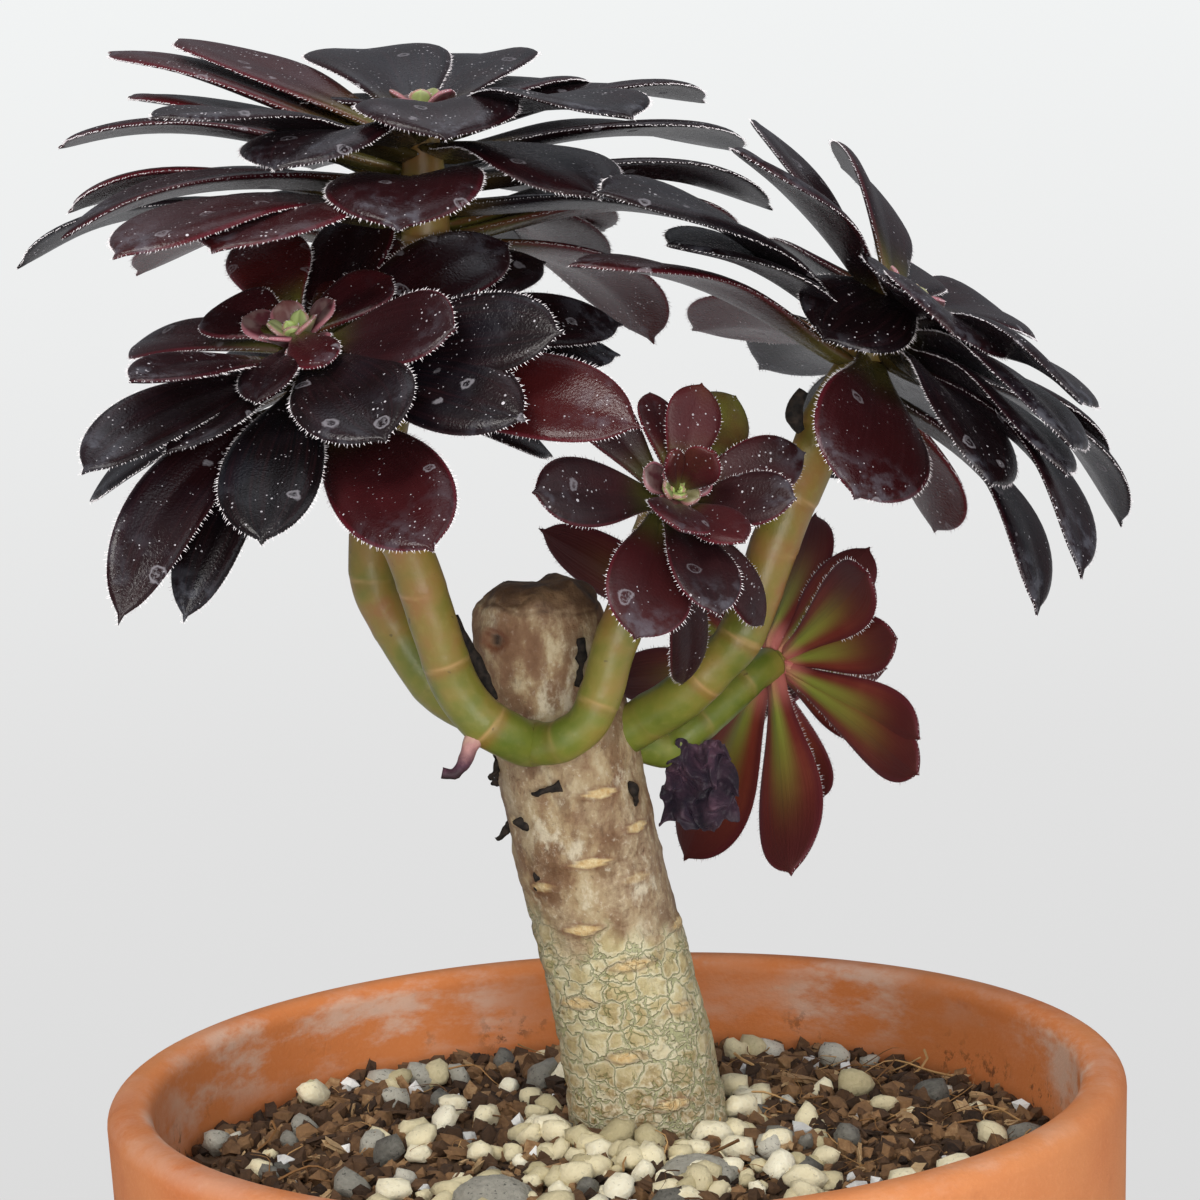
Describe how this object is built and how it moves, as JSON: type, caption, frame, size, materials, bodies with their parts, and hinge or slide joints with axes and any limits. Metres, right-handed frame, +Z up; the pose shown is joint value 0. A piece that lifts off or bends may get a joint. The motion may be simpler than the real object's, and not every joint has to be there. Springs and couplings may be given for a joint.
{
  "type": "potted succulent",
  "caption": "Branched tree aeonium with dark purple leaf rosettes on a scarred trunk, standing in gritty soil in a plain clay pot.",
  "frame": {"origin": "middle of the whole object's box, at the height of the pot's foot; the pot's own axis stands at x = 2.1 mm, y = 0", "axes": "+Z up along the pot's axis; -Y is the front, the side that the small rosette faces; +X is the front's right"},
  "size_m": [0.2054, 0.18, 0.3381],
  "materials": {
    "terracotta": "unglazed fired clay with pale lime bloom",
    "soil": "loose bark and coir with pumice grit",
    "bark": "grey-tan bark with pale leaf scars, cracked green low down",
    "green_stem": "smooth olive-green living stem",
    "dark_leaf": "waxy near-black purple leaf",
    "young_leaf": "waxy green and maroon young leaf",
    "dry_leaf": "crumpled dry leaf",
    "stone": "speckled rough stone"
  },
  "bodies": {
    "root": {"front_left_branch": "green_stem", "front_left_heart": "young_leaf", "front_left_leaf_01": "dark_leaf", "front_left_leaf_02": "dark_leaf", "front_left_leaf_03": "dark_leaf", "front_left_leaf_04": "dark_leaf", "front_left_leaf_05": "dark_leaf", "front_left_leaf_06": "dark_leaf", "front_left_leaf_07": "dark_leaf", "front_left_leaf_08": "dark_leaf", "front_left_leaf_09": "dark_leaf", "front_left_leaf_10": "dark_leaf", "front_left_leaf_11": "dark_leaf", "front_small_branch": "green_stem", "front_small_heart": "young_leaf", "front_small_leaf_01": "dark_leaf", "front_small_leaf_02": "dark_leaf", "front_small_leaf_03": "dark_leaf", "front_small_leaf_04": "dark_leaf", "large_stone_1": "stone", "large_stone_2": "stone", "pot": "terracotta", "rear_low_branch": "green_stem", "rear_low_heart": "young_leaf", "rear_low_leaf_01": "dark_leaf", "rear_low_leaf_02": "dark_leaf", "rear_low_leaf_03": "dark_leaf", "rear_low_leaf_04": "dark_leaf", "rear_low_leaf_05": "dark_leaf", "right_branch": "green_stem", "right_heart": "young_leaf", "right_leaf_01": "dark_leaf", "right_leaf_02": "dark_leaf", "right_leaf_03": "dark_leaf", "right_leaf_04": "dark_leaf", "right_leaf_05": "dark_leaf", "right_leaf_06": "dark_leaf", "right_leaf_07": "dark_leaf", "right_leaf_08": "dark_leaf", "right_leaf_09": "dark_leaf", "right_leaf_10": "dark_leaf", "right_leaf_11": "dark_leaf", "right_leaf_12": "dark_leaf", "soil": "soil", "top_branch": "green_stem", "top_heart": "young_leaf", "top_leaf_01": "dark_leaf", "top_leaf_02": "dark_leaf", "top_leaf_03": "dark_leaf", "top_leaf_04": "dark_leaf", "top_leaf_05": "dark_leaf", "top_leaf_06": "dark_leaf", "top_leaf_07": "dark_leaf", "top_leaf_08": "dark_leaf", "top_leaf_09": "dark_leaf", "top_leaf_10": "dark_leaf", "top_leaf_11": "dark_leaf", "top_leaf_12": "dark_leaf", "trunk": "bark", "withered_leaf": "dry_leaf"}
  },
  "joints": []
}
